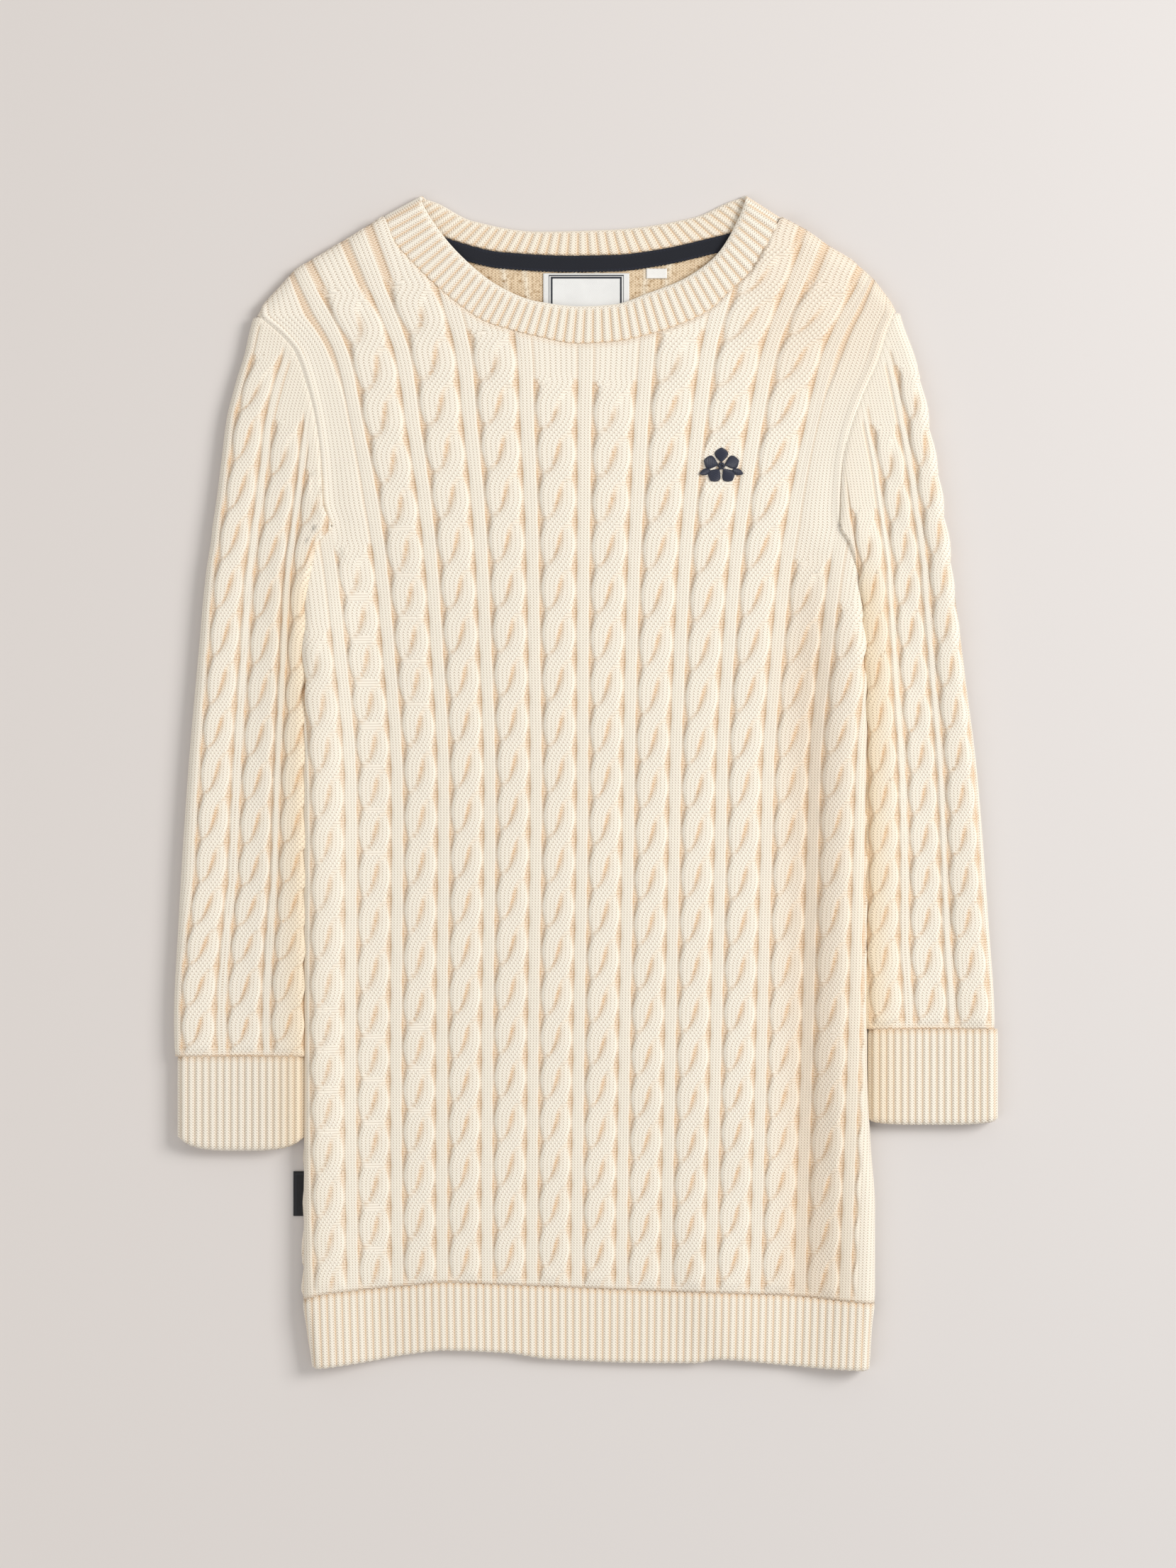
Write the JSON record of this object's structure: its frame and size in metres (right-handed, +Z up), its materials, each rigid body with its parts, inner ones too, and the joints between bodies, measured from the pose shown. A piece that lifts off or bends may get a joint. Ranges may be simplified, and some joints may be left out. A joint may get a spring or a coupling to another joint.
{
  "type": "sweater dress",
  "caption": "Cable-knit sweater dress with a crew neck, long sleeves and rib bands at neck, cuffs and hem, laid flat on its back.",
  "frame": {"origin": "under the middle of the dress, on the surface that it lies on", "axes": "+Y from the hem to the neck, +Z up from the surface, through the back and then the front; +X to the right as seen from above"},
  "size_m": [0.5652, 0.809, 0.0164],
  "materials": {
    "knit": "matte",
    "rib": "matte",
    "tape": "matte",
    "label": "satin",
    "tab": "satin",
    "embroidery": "satin"
  },
  "bodies": {
    "root": {"front": "knit", "back": "knit", "left_sleeve": "knit", "right_sleeve": "knit", "left_cuff": "rib", "right_cuff": "rib", "front_hem": "rib", "back_hem": "rib", "neckband": "rib", "neck_tape": "tape", "neck_label": "label", "size_label": "label", "side_tab": "tab", "chest_motif": "embroidery"}
  },
  "joints": []
}
